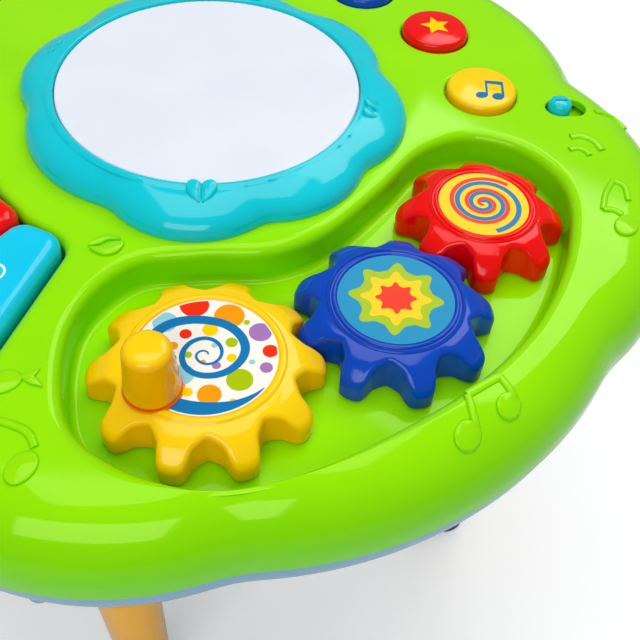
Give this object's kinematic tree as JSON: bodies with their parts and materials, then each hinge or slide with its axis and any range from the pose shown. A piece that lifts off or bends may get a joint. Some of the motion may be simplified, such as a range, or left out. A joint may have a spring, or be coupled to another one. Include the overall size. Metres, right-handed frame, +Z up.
{
  "type": "musical activity table",
  "caption": "Toddler's play table with a scalloped deck: drum, meshing gears with a turning knob, fan of keys, round buttons, slide switch and roller, on plug-in legs.",
  "frame": {"origin": "on the floor, below the middle of the deck's outline", "axes": "+Z up; the gears are at the front, on the -Y side; the keys are on the -X side and the buttons on the +X side"},
  "size_m": [0.396, 0.427, 0.3248],
  "materials": {
    "lime_plastic": "gloss",
    "sky_plastic": "gloss",
    "cyan_plastic": "gloss",
    "yellow_plastic": "gloss",
    "orange_plastic": "gloss",
    "blue_plastic": "gloss",
    "red_plastic": "gloss",
    "milk_plastic": "satin, translucent",
    "inner_plastic": "matt",
    "steel": "satin",
    "board": "satin",
    "rubber": "matt",
    "printed_film": "gloss print",
    "cell_wrap": "gloss"
  },
  "bodies": {
    "table": {"deck_shell": "lime_plastic", "base_shell": "sky_plastic", "drum_frame": "cyan_plastic", "drum_tray": "inner_plastic", "drum_pad": "rubber", "light_board": "board", "key_bracket": "inner_plastic", "key_pins": "steel", "key_pad": "rubber", "key_board": "board", "button_pad": "rubber", "button_board": "board", "switch_body": "steel", "speaker": "steel", "main_board": "board", "battery_door": "sky_plastic", "door_screw": "steel", "battery_cells": "cell_wrap", "battery_contacts": "steel", "casing_screws": "steel", "inner_screws": "steel", "leg_front_left": "orange_plastic", "leg_front_right": "orange_plastic", "leg_back_left": "orange_plastic", "leg_back_right": "orange_plastic", "leg_feet": "rubber"},
    "head": {"drum_head": "milk_plastic"},
    "key_1": {"key_1": "orange_plastic"},
    "key_2": {"key_2": "yellow_plastic"},
    "key_3": {"key_3": "blue_plastic"},
    "key_4": {"key_4": "red_plastic"},
    "key_5": {"key_5": "cyan_plastic"},
    "yellow_gear": {"gear_yellow": "yellow_plastic", "label_dots": "printed_film", "gear_screw_yellow": "steel"},
    "blue_gear": {"gear_blue": "blue_plastic", "label_star": "printed_film", "gear_screw_blue": "steel"},
    "red_gear": {"gear_red": "red_plastic", "label_swirl": "printed_film", "gear_screw_red": "steel"},
    "knob": {"turning_knob": "orange_plastic", "knob_screw": "steel"},
    "button_1": {"button_1": "yellow_plastic"},
    "button_2": {"button_2": "red_plastic"},
    "button_3": {"button_3": "blue_plastic"},
    "switch": {"slide_switch": "cyan_plastic"},
    "roller": {"roller": "red_plastic", "roller_axle": "steel"}
  },
  "joints": [
    {"name": "head_press", "type": "slide", "parent": "table", "child": "head", "axis": [0, 0, -1], "range_m": [0, 0.002], "stiffness_N_per_m": 600, "springref_m": -0.005},
    {"name": "key_1_press", "type": "hinge", "parent": "table", "child": "key_1", "pos_m": [-0.08192, 0.03733, 0.2905], "axis": [-0.5417, -0.8406, 0], "range_deg": [0, 2.5], "stiffness_Nm_per_rad": 1, "springref_deg": -6.88},
    {"name": "key_2_press", "type": "hinge", "parent": "table", "child": "key_2", "pos_m": [-0.08739, 0.01866, 0.2905], "axis": [-0.2823, -0.9593, 0], "range_deg": [0, 2.5], "stiffness_Nm_per_rad": 1, "springref_deg": -6.88},
    {"name": "key_3_press", "type": "hinge", "parent": "table", "child": "key_3", "pos_m": [-0.089, 0, 0.2905], "axis": [0, -1, 0], "range_deg": [0, 2.5], "stiffness_Nm_per_rad": 1, "springref_deg": -6.88},
    {"name": "key_4_press", "type": "hinge", "parent": "table", "child": "key_4", "pos_m": [-0.08699, -0.01854, 0.2905], "axis": [0.2823, -0.9593, 0], "range_deg": [0, 2.5], "stiffness_Nm_per_rad": 1, "springref_deg": -6.88},
    {"name": "key_5_press", "type": "hinge", "parent": "table", "child": "key_5", "pos_m": [-0.08124, -0.03689, 0.2905], "axis": [0.5417, -0.8406, 0], "range_deg": [0, 2.5], "stiffness_Nm_per_rad": 1, "springref_deg": -6.88},
    {"name": "yellow_spin", "type": "hinge", "parent": "table", "child": "yellow_gear", "pos_m": [-0.06179, -0.12795, 0.29], "axis": [0, 0, 1], "continuous": true},
    {"name": "blue_spin", "type": "hinge", "parent": "table", "child": "blue_gear", "pos_m": [0.0124, -0.1389, 0.29], "axis": [0, 0, 1], "continuous": true},
    {"name": "red_spin", "type": "hinge", "parent": "table", "child": "red_gear", "pos_m": [0.0745, -0.11369, 0.29], "axis": [0, 0, 1], "continuous": true},
    {"name": "knob_spin", "type": "hinge", "parent": "yellow_gear", "child": "knob", "pos_m": [-0.08379, -0.13159, 0.31], "axis": [0, 0, 1], "continuous": true},
    {"name": "button_1_press", "type": "slide", "parent": "table", "child": "button_1", "axis": [0, 0, -1], "range_m": [0, 0.002], "stiffness_N_per_m": 400, "springref_m": -0.005},
    {"name": "button_2_press", "type": "slide", "parent": "table", "child": "button_2", "axis": [0, 0, -1], "range_m": [0, 0.002], "stiffness_N_per_m": 400, "springref_m": -0.005},
    {"name": "button_3_press", "type": "slide", "parent": "table", "child": "button_3", "axis": [0, 0, -1], "range_m": [0, 0.002], "stiffness_N_per_m": 400, "springref_m": -0.005},
    {"name": "switch_slide", "type": "slide", "parent": "table", "child": "switch", "axis": [0.887, -0.4617, 0], "range_m": [0, 0.006]},
    {"name": "roller_spin", "type": "hinge", "parent": "table", "child": "roller", "pos_m": [0, 0.152, 0.289], "axis": [1, 0, 0], "continuous": true}
  ],
  "couplings": [
    {"joint": "blue_spin", "follows": "yellow_spin", "ratio": -1.1111},
    {"joint": "red_spin", "follows": "yellow_spin", "ratio": 1.25}
  ]
}
